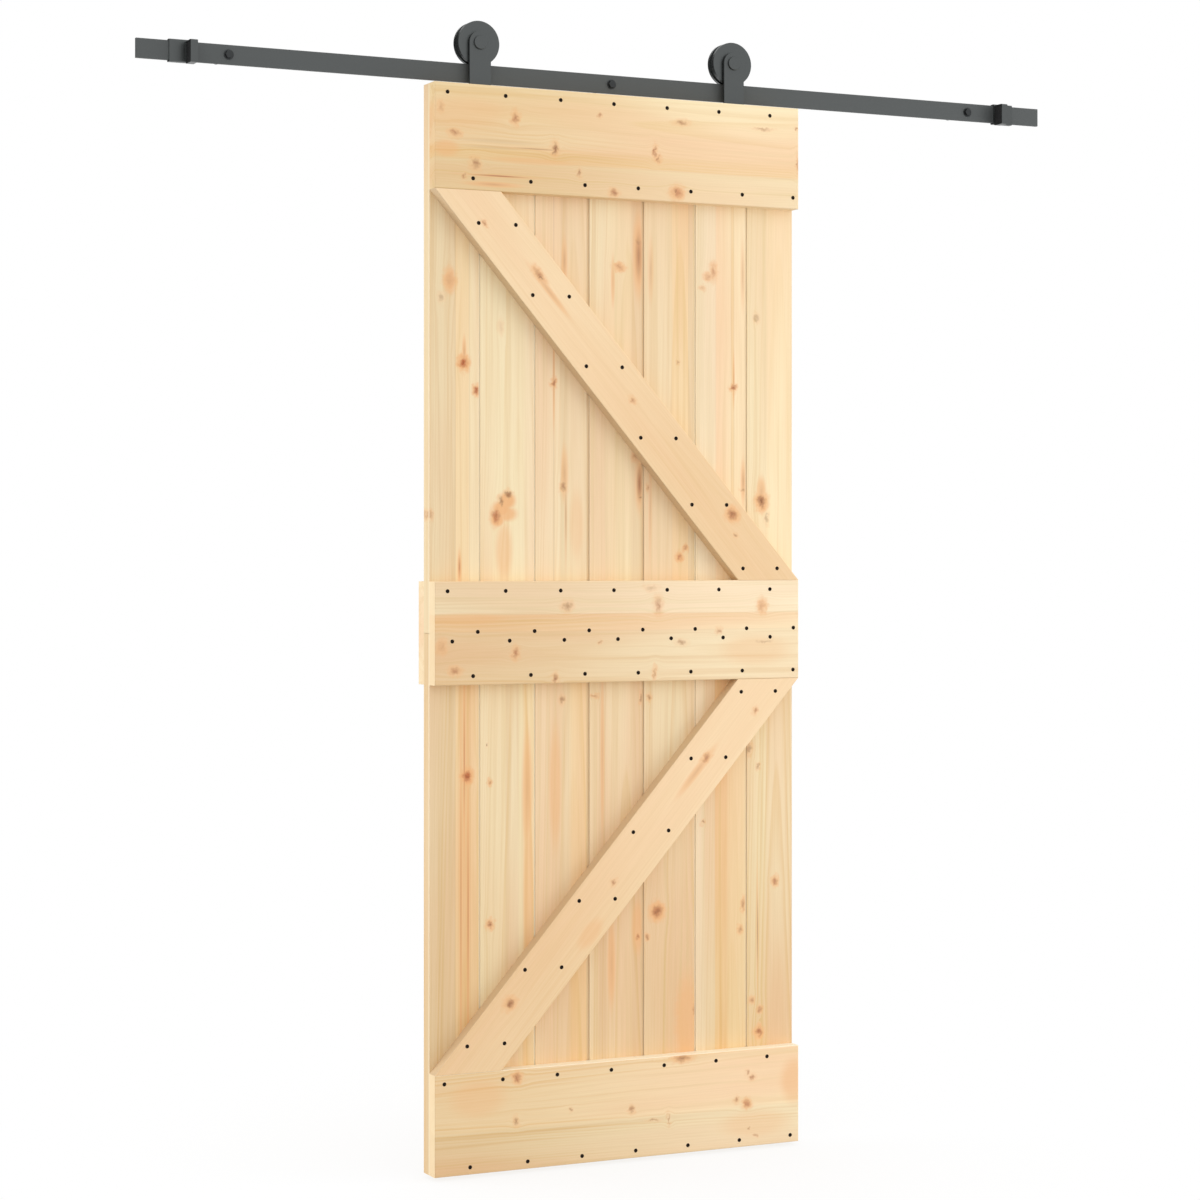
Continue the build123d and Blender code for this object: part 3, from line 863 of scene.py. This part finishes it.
def finish_lower_boards():
    """The upright boards under the middle cross-board, from left to right."""
    make_pine(
        "lower_board_1", UPRIGHT, BISCUIT, seed=50.3, contrast=0.5, depths=(0.25, 0.7),
        strips=[strip(54, APRICOT, 1, 0.1), strip(60, AMBER, 2, 0), strip(86, APRICOT, 3, 0.05)],
        marks=[
            knot(79, 766, 7, 8, 0.95, 1.0, brown=0.1),
            streak(73, 800, 1.1, 90, 0.45, 0.6, 0.1),
            streak(81, 500, 1.1, 150, 0.5, 0.6, 0.1),
            streak(66, 520, 1.0, 180, 0.4, 0.6, 0.1),
        ],
    )
    make_pine(
        "lower_board_2", UPRIGHT, STRAW, seed=54.7, contrast=0.45, waviness=9, depths=(0.15, 0.6),
        strips=[strip(160, SAND, 4, 0), strip(188, STRAW, 3, 0), strip(197, APRICOT, 4, 0.05)],
        marks=[
            knot(119, 826, 2, 3, 0.6, 0.2, brown=0.7),
            knot(127, 753, 3, 4, 0.45, 0.6, brown=0.2),
            streak(207, 735, 5, 55, 0.1, 0.6, 0.1),
            streak(210, 530, 5, 80, 0.0, 0.5),
            knot(128, 477, 5, 6, 0.75, 0.7, brown=0.3),
        ],
    )
    make_pine(
        # Painted shade in the groove along the board's right side
        "lower_board_3", UPRIGHT, HONEY, seed=58.2, contrast=0.4, depths=(0.2, 0.6), joint=PAINTED_SHADE_GREY,
        strips=[strip(262, SAND, 5, 0), strip(300, APRICOT, 6, 0)],
        marks=[
            knot(282, 910, 4, 6, 0.5, 0.3, brown=0.7),
            streak(267, 740, 6, 55, 0.0, 0.5),
        ],
    )
    make_pine(
        "lower_board_4", UPRIGHT, SAND, seed=63.4, contrast=0.5, waviness=9, depths=(0.1, 0.55),
        # Painted shade in the groove along the board's right side
        joint=PAINTED_SHADE_GREY,
        strips=[strip(362, BISCUIT, 3, 0), strip(378, SAND, 3, 0), strip(436, BISCUIT, 4, 0)],
        marks=[
            knot(352, 916, 6, 3, 0.35, 0.4, brown=0.2),
            knot(456, 911, 3, 8, 0.5, 0.4, brown=0.6),
            streak(370, 800, 2, 70, 0.1, 0.5, 0.2),
            knot(448, 433, 4, 5, 0.55, 0.8, brown=0.2),
            streak(448, 452, 6, 24, 0.0, 0.6),
            streak(390, 382, 4, 38, 0.1, 0.6, 0.1),
        ],
    )
    make_pine(
        "lower_board_5", UPRIGHT, SAND, seed=67.8, contrast=0.5, waviness=8, depths=(0.2, 0.75),
        strips=[strip(532, SAND, 4, 0.05)],
        marks=[
            knot(473, 910, 3, 5, 0.5, 0.4, brown=0.5),
            knot(491, 482, 9, 10, 0.8, 0.8, brown=0.3),
            knot(470, 433, 3, 4, 0.5, 0.5, brown=0.4),
            knot(575, 280, 4, 9, 0.3, 0.5),
            knot(558, 255, 12, 45, 0.0, 0.6, flow=0.6),
        ],
    )
    make_pine(
        # Painted shade in the groove along the board's right side
        "lower_board_6", UPRIGHT, CREAM, seed=71.1, contrast=0.45, depths=(0.1, 0.65), joint=PAINTED_SHADE_TAN,
        strips=[strip(598, SAND, 5, 0), strip(622, AMBER, 2, 0.05), strip(650, APRICOT, 4, 0)],
        marks=[
            knot(594, 656, 3, 3, 0.5, 0.4, brown=0.5),
            knot(687, 485, 3, 9, 0.45, 0.5),
            knot(680, 435, 4, 5, 0.4, 0.5),
        ],
    )
    make_pine(
        "lower_board_7", UPRIGHT, STRAW, seed=76.6, contrast=0.55, waviness=8, depths=(0.3, 0.9),
        strips=[strip(740, HONEY, 4, 0)],
        marks=[
            knot(700, 801, 6, 8, 0.45, 0.3, brown=0.9),
            knot(721, 765, 3, 4, 0.4, 0.3, brown=0.6),
            knot(761, 529, 5, 6, 0.55, 0.6, brown=0.3),
            streak(720, 430, 1.2, 60, 0.45, 0.4, 0.7),
            knot(707, 290, 4, 5, 0.45, 0.5),
            knot(725, 270, 4, 5, 0.45, 0.5),
            knot(723, 225, 6, 7, 0.75, 0.7, brown=0.3),
        ],
    )


def make_coated(name, colour, rough, grain_size, relief, specular, metallic=0.0):
    """A dark sprayed, moulded or blackened surface, lighter and duller in broad patches."""
    material, work, shader = new_material(name)
    surface = work.use(speckle_group, Position=work.object_place(), Grain_Size=grain_size * MM)
    lighter = tuple(1.12 * value for value in colour[:3]) + (1.0,)
    duller = rough + 0.08
    work.feed(shader.inputs["Base Color"], work.mix(surface["Broad"], colour, lighter))
    work.feed(shader.inputs["Roughness"], work.smooth(surface["Broad"], 0.3, 0.7, rough, duller))
    add_bump(work, shader, surface["Fine"], strength=relief, depth=0.2 * MM)
    shader.inputs["Specular IOR Level"].default_value = specular
    shader.inputs["Metallic"].default_value = metallic
    return material


def finish_hardware():
    """Everything that isn't wood: the track with its stops, the hangers and the wheels."""
    steel = make_coated("anthracite_steel", tone(89, 92, 92), rough=0.34, grain_size=1.1, relief=0.12,
                        specular=0.4, metallic=0.92)
    bar = make_coated("anthracite_bar", tone(87, 90, 90), rough=0.5, grain_size=1.1, relief=0.12,
                      specular=0.3, metallic=0.4)
    bolts = make_coated("dark_bolts", tone(62, 64, 65), rough=0.34, grain_size=0.8, relief=0.1,
                        specular=0.5, metallic=0.9)
    wheels = make_coated("anthracite_wheel", tone(89, 92, 92), rough=0.32, grain_size=1.1, relief=0.1,
                         specular=0.45, metallic=0.92)
    rubber = make_coated("black_rubber", tone(26, 26, 27), rough=0.75, grain_size=0.6, relief=0.3,
                         specular=0.3)
    plastic = make_coated("grey_plastic", tone(128, 130, 132), rough=0.55, grain_size=1.5, relief=0.2,
                          specular=0.4)
    for node in nodes:
        if "board" in node or "brace" in node:
            continue
        if "bumper" in node:
            dress(node, rubber)
        elif "plug" in node:
            dress(node, plastic)
        elif "wall_bolt" in node or "washer" in node or "nut" in node:
            dress(node, bolts)
        elif node == "track_bar":
            dress(node, bar)
        elif "wheel" in node:
            dress(node, wheels)
        else:
            # Hangers, clamps, spacers and axle bolts
            dress(node, steel)


def make_screw_tree():
    """Screw heads on given points: a low cone with a crossed slot, each turned by chance."""
    sides = 20
    top_share = 0.74
    # Each bar of the cross is centred on the head's top, and this much taller than the head
    bar_share = 1.2
    work, given, result = make_group(
        "Screw heads",
        [
            ("Points", GEOMETRY, None),
            ("Head Diameter", FLOAT, 8 * MM),
            ("Head Height", FLOAT, 0.9 * MM),
            ("Slot Length", FLOAT, 4.6 * MM),
            ("Slot Width", FLOAT, 1 * MM),
            ("Facing", VECTOR, (0, 0, 0)),
            ("Seed", WHOLE, 0),
            ("Finish", MATERIAL, None),
        ],
        [("Heads", GEOMETRY)],
        tree_kind="GeometryNodeTree",
    )
    half = work.maths("MULTIPLY", given["Head Diameter"], 0.5)
    head = work.add("GeometryNodeMeshCone", fill_type="NGON")
    head.inputs["Vertices"].default_value = sides
    work.feed(head.inputs["Radius Top"], work.maths("MULTIPLY", half, top_share))
    work.feed(head.inputs["Radius Bottom"], half)
    work.feed(head.inputs["Depth"], given["Head Height"])
    cut = work.add("GeometryNodeMeshBoolean", operation="DIFFERENCE", solver="EXACT")
    work.feed(cut.inputs["Mesh 1"], head.outputs["Mesh"])
    top = work.join(Z=given["Head Height"])
    bar_height = work.maths("MULTIPLY", given["Head Height"], bar_share)
    for length, width in (("Slot Length", "Slot Width"), ("Slot Width", "Slot Length")):
        slot = work.add("GeometryNodeMeshCube")
        work.feed(slot.inputs["Size"], work.join(X=given[length], Y=given[width], Z=bar_height))
        moved = work.add("GeometryNodeTransform")
        work.feed(moved.inputs["Geometry"], slot.outputs["Mesh"])
        work.feed(moved.inputs["Translation"], top)
        work.feed(cut.inputs["Mesh 2"], moved.outputs["Geometry"])
    put = work.add("GeometryNodeInstanceOnPoints")
    work.feed(put.inputs["Points"], given["Points"])
    work.feed(put.inputs["Instance"], cut.outputs["Mesh"])
    work.feed(put.inputs["Rotation"], given["Facing"])
    chance = work.add("FunctionNodeRandomValue", data_type="FLOAT")
    work.feed(chance.inputs[RANDOM_HIGHEST], math.pi / 2)
    work.feed(chance.inputs["Seed"], given["Seed"])
    turn = work.add("GeometryNodeRotateInstances")
    work.feed(turn.inputs["Instances"], put.outputs["Instances"])
    work.feed(turn.inputs["Rotation"], work.join(Z=chance.outputs[RANDOM_NUMBER]))
    real = work.add("GeometryNodeRealizeInstances")
    work.feed(real.inputs["Geometry"], turn.outputs["Instances"])
    finish = work.add("GeometryNodeSetMaterial")
    work.feed(finish.inputs["Geometry"], real.outputs["Geometry"])
    work.feed(finish.inputs["Material"], given["Finish"])
    work.feed(result["Heads"], finish.outputs["Geometry"])
    return work.tree


screw_tree = make_screw_tree()


def make_heads(name, places, values, body):
    """One mesh of screw heads on the given points, which rides on a body."""
    mesh = bpy.data.meshes.new(f"{name}_points")
    mesh.from_pydata([tuple(place) for place in places], [], [])
    holder = add_object(f"{name}_holder", mesh)
    modifier = holder.modifiers.new("heads", "NODES")
    modifier.node_group = screw_tree
    for item in screw_tree.interface.items_tree:
        if item.in_out == "INPUT" and item.name in values:
            modifier[item.identifier] = values[item.name]
    bpy.context.view_layer.update()
    evaluated = holder.evaluated_get(bpy.context.evaluated_depsgraph_get())
    heads = add_object(name, bpy.data.meshes.new_from_object(evaluated))
    bpy.data.objects.remove(holder)
    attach(heads, body)


# Screws of the door's front, in millimetres from its left end and over its bottom:
# one screw near each board's left side or near its right side, in rows across the door
near_left_sides = (26.5, 148.4, 266.1, 381.9, 499.8, 616.4, 733.4)
near_right_sides = (79.8, 202.0, 318.7, 435.5, 553.0, 669.8, 787.0)
screw_rows = {
    2086.2: near_left_sides,
    1922.6: near_right_sides,
    1125.8: near_left_sides,
    1047.1: (89.6, 210.1, 327.7, 445.5, 562.7, 679.7, 787.8),
    1029.1: (36.3, 156.9, 273.9, 390.7, 508.7, 625.9, 733.9),
    961.8: near_right_sides,
    178.6: (19.9, 142.5, 258.8, 376.2, 493.1, 609.8, 726.7),
    14.4: (73.6, 195.3, 312.3, 429.8, 546.2, 662.9, 780.4),
}

# The left one of each pair of screws in the braces, and how far the right one lies beside it
brace_screws = (
    (91.5, 1837),
    (206, 1702),
    (321.5, 1566.5),
    (441, 1428),
    (555.5, 1296),
    (671.5, 1168),
    (667.5, 919),
    (553.5, 788),
    (424.5, 646),
    (306, 516),
    (189.5, 388),
    (67.5, 248),
)
brace_screw_pair = 78.5

# Screws of a hanger's foot: from its middle, from its front edge, and over the door's top
foot_screw_offset = 11 * MM
foot_screw_inset = 13 * MM
foot_screw_height = 3.2 * MM


def make_door_screws():
    """The black screws that hold the cross-boards and braces, and the two in each hanger's foot."""
    black = make_coated("black_screws", tone(26, 17, 11), rough=0.5, grain_size=0.6, relief=0.1,
                        specular=0.15)
    spots = [(x, z) for z, row in screw_rows.items() for x in row]
    for x, z in brace_screws:
        spots += [(x, z), (x + brace_screw_pair, z)]
    places = [Vector((door_left + x * MM, frame_front, door_bottom + z * MM)) for x, z in spots]
    values = {"Facing": (math.pi / 2, 0, 0), "Seed": 3, "Finish": black}
    make_heads("door_screws", places, values, "door")
    foot_places = []
    for side in ("left", "right"):
        low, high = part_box(f"{side}_hanger")
        middle = (low.x + high.x) / 2
        for offset in (-foot_screw_offset, foot_screw_offset):
            place = Vector((middle + offset, low.y + foot_screw_inset, low.z + foot_screw_height))
            foot_places.append(place)
    values = {
        "Head Diameter": 11.8 * MM,
        "Head Height": 1.6 * MM,
        "Slot Length": 6.6 * MM,
        "Slot Width": 1.3 * MM,
        "Facing": (0, 0, 0),
        "Seed": 5,
        "Finish": black,
    }
    make_heads("hanger_screws", foot_places, values, "door")


def make_studio_sheet(name, corners, material_name):
    """A flat sheet, the nodes of its bare material, and the socket that its surface goes to."""
    mesh = bpy.data.meshes.new(name)
    mesh.from_pydata(corners, [], [(0, 1, 2, 3)])
    sheet = add_object(name, mesh)
    material, work, shader = new_material(material_name)
    work.tree.nodes.remove(shader)
    mesh.materials.append(material)
    return sheet, work, work.tree.nodes["Material Output"].inputs["Surface"]


# The floor's half width, its gap under the door and its grey
floor_reach = 14.0
floor_gap = 8 * MM
floor_grey = (0.9, 0.9, 0.9, 1)

# How far from the middle the floor begins and ends to fade to white, and how much of it is white there
fade_reach = (0.35, 1.3)
fade_share = (0.8, 1.0)


def make_floor():
    """A white floor just under the door that keeps a faint shadow near it and fades to the backdrop."""
    height = door_bottom - floor_gap
    signs = ((-1, -1), (1, -1), (1, 1), (-1, 1))
    corners = [(x * floor_reach, y * floor_reach, height) for x, y in signs]
    floor, work, surface = make_studio_sheet("floor", corners, "white_floor")
    matt = work.add("ShaderNodeBsdfDiffuse")
    matt.inputs["Color"].default_value = floor_grey
    glow = work.add("ShaderNodeEmission")
    flat = work.vector("MULTIPLY", work.object_place(), (1, 1, 0))
    fade = work.smooth(work.vector("LENGTH", flat), *fade_reach, *fade_share)
    blend = work.add("ShaderNodeMixShader")
    share, first, second = blend.inputs
    work.feed(share, work.maths("MULTIPLY", work.seen_directly(), fade))
    work.feed(first, matt.outputs["BSDF"])
    work.feed(second, glow.outputs["Emission"])
    work.feed(surface, blend.outputs["Shader"])
    floor.visible_diffuse = False
    floor.visible_shadow = False


# The strength of the even light from below and from above, which change over at the horizon
light_below = 0.62
light_above = 0.94
horizon = 0.03


def make_world():
    """Even light from all round, weaker from below, seen as white by the camera and in gloss."""
    world = bpy.data.worlds.new("studio")
    bpy.context.scene.world = world
    world.use_nodes = True
    work = Nodes(world.node_tree)
    background = world.node_tree.nodes["Background"]
    way = work.split(work.add("ShaderNodeTexCoord").outputs["Generated"])
    ambient = work.smooth(way["Z"], -horizon, horizon, light_below, light_above)
    work.feed(background.inputs["Strength"], work.smooth(work.seen_directly(), 0.0, 1.0, ambient, 1.0))
    background.inputs["Color"].default_value = (1, 1, 1, 1)


# The dark card's two ends on the floor plan, its half height and its colour
card_ends = ((-4.6, 2.2), (-0.6, 5.4))
card_half_height = 3
card_black = (0.02, 0.02, 0.02, 1)


def make_dark_card():
    """A dark card far behind on the left, seen only in gloss, that draws the edges of the metal."""
    left, right = card_ends
    low, high = -card_half_height, card_half_height
    corners = [(*left, low), (*right, low), (*right, high), (*left, high)]
    card, work, surface = make_studio_sheet("dark_card", corners, "dark_card")
    dark = work.add("ShaderNodeEmission")
    dark.inputs["Color"].default_value = card_black
    work.feed(surface, dark.outputs["Emission"])
    card.visible_camera = False
    card.visible_diffuse = False
    card.visible_shadow = False


# The point near the door's middle that every lamp faces, and each lamp's place, size and power
lamp_aim = Vector((0.0, -0.1, -1.1))
lamps = {
    "right_lamp": ((4.2, -2.4, -1.1), 3.5, 83),
    "upper_right_lamp": ((3.4, -2.6, 1.8), 2.4, 12),
    "left_end_lamp": ((-3.8, 1.6, -0.9), 3.0, 62),
    "upper_left_lamp": ((-3.0, -3.0, 1.6), 2.4, 9),
    "front_lamp": ((-0.3, -5.5, -0.6), 3.0, 16),
}


def make_lamp(name, place, size, power):
    """A square soft lamp that points at the middle of the door and isn't seen itself."""
    lamp = bpy.data.lights.new(name, "AREA")
    lamp.shape = "SQUARE"
    lamp.size = size
    lamp.energy = power
    holder = add_object(name, lamp)
    holder.visible_camera = False
    holder.visible_glossy = False
    holder.location = place
    holder.rotation_euler = (lamp_aim - Vector(place)).to_track_quat("-Z", "Y").to_euler()


# The camera: its place, its turn to the right in degrees, its lens, and its shift in pixels of the frame
camera_place = (-2.492, -5.186, -0.9325)
camera_turn = 25.58
camera_lens = 85.74
camera_shift = -49.9
frame_pixels = 1200


def make_camera():
    """The photograph's own view: level, from the left, with the upright lines kept upright."""
    camera_data = bpy.data.cameras.new("camera")
    camera_data.lens = camera_lens
    camera_data.sensor_width = 36.0
    camera_data.shift_y = camera_shift / frame_pixels
    camera = add_object("camera", camera_data)
    camera.location = camera_place
    camera.rotation_euler = (math.radians(90), 0, math.radians(-camera_turn))
    bpy.context.scene.camera = camera


finish_cross_boards()
finish_braces()
finish_upper_boards()
finish_lower_boards()
finish_hardware()
make_door_screws()
make_floor()
make_world()
make_dark_card()
for lamp_name, (lamp_place, lamp_size, lamp_power) in lamps.items():
    make_lamp(lamp_name, lamp_place, lamp_size, lamp_power)
make_camera()

bpy.context.scene.view_settings.view_transform = "Standard"
